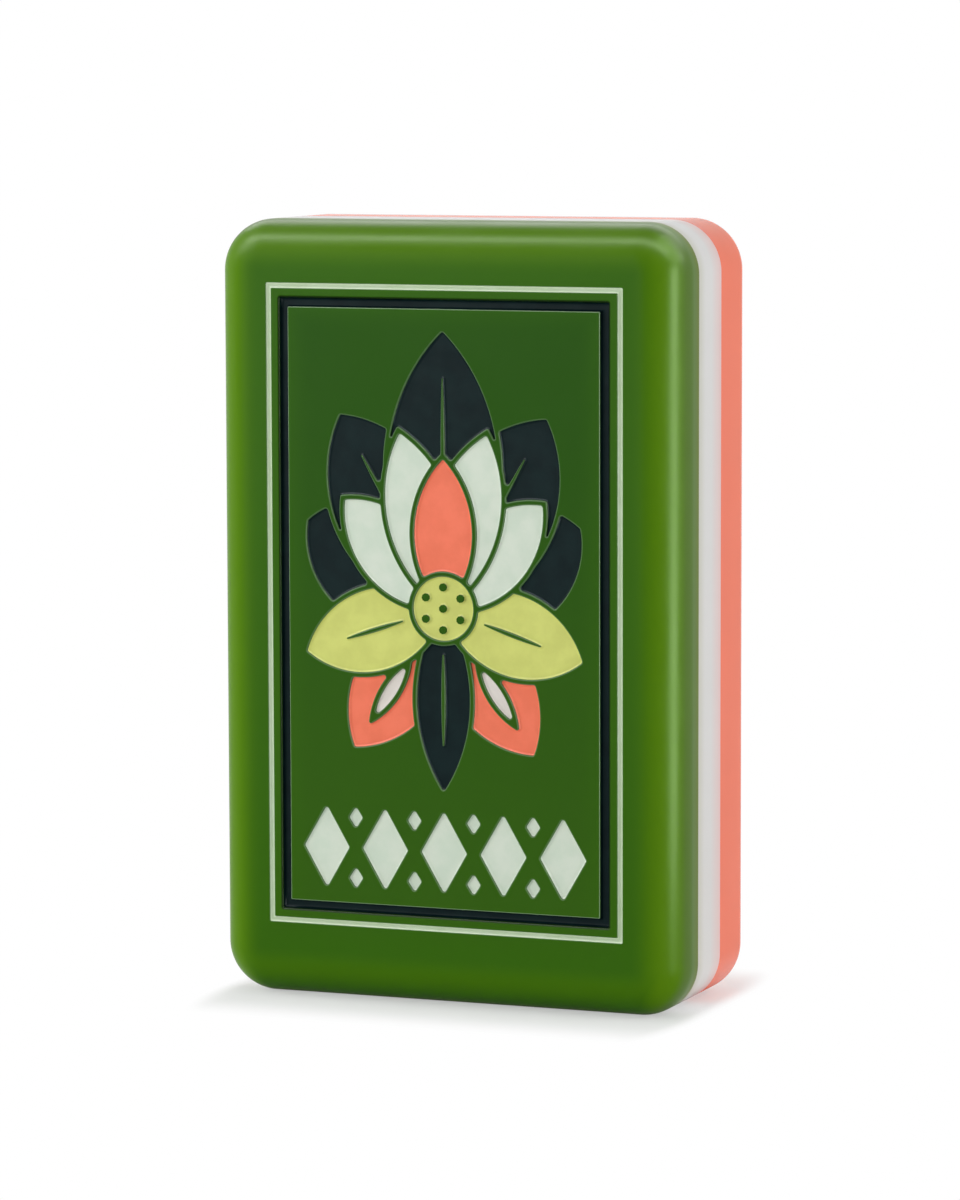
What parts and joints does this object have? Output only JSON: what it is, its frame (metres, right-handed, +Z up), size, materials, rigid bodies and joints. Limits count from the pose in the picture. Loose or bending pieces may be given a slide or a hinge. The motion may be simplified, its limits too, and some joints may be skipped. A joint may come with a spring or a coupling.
{
  "type": "mahjong tile",
  "caption": "Laminated mahjong tile with rounded corners and edges, an engraved face with frame lines, a flower and a lozenge band filled with coloured enamel.",
  "frame": {"origin": "centre of the short base edge that the tile stands on", "axes": "+X across the width, +Y from the engraved face to the back, +Z up the height"},
  "size_m": [0.0204, 0.0088, 0.032],
  "materials": {
    "green_face": "polished translucent green acrylic",
    "white_core": "polished white acrylic",
    "coral_back": "polished coral acrylic",
    "mint_enamel": "hardened enamel, satin",
    "navy_enamel": "hardened enamel, satin",
    "lime_enamel": "hardened enamel, satin",
    "coral_enamel": "hardened enamel, satin",
    "white_enamel": "hardened enamel, satin"
  },
  "bodies": {
    "root": {"face_layer": "green_face", "core_layer": "white_core", "back_layer": "coral_back", "mint_outer_line": "mint_enamel", "navy_inner_line": "navy_enamel", "lime_seed_head": "lime_enamel", "coral_bud": "coral_enamel", "mint_petal_inner_left": "mint_enamel", "mint_petal_inner_right": "mint_enamel", "mint_petal_outer_left": "mint_enamel", "mint_petal_outer_right": "mint_enamel", "lime_leaf_left": "lime_enamel", "lime_leaf_right": "lime_enamel", "navy_pendant": "navy_enamel", "white_streak_left": "white_enamel", "white_streak_right": "white_enamel", "coral_petal_left": "coral_enamel", "coral_petal_right": "coral_enamel", "navy_petal_middle": "navy_enamel", "navy_petal_left": "navy_enamel", "navy_petal_right": "navy_enamel", "navy_petal_far_left": "navy_enamel", "navy_petal_far_right": "navy_enamel", "mint_lozenge_1": "mint_enamel", "mint_lozenge_2": "mint_enamel", "mint_lozenge_3": "mint_enamel", "mint_lozenge_4": "mint_enamel", "mint_lozenge_5": "mint_enamel", "mint_band_dots": "mint_enamel"}
  },
  "joints": []
}
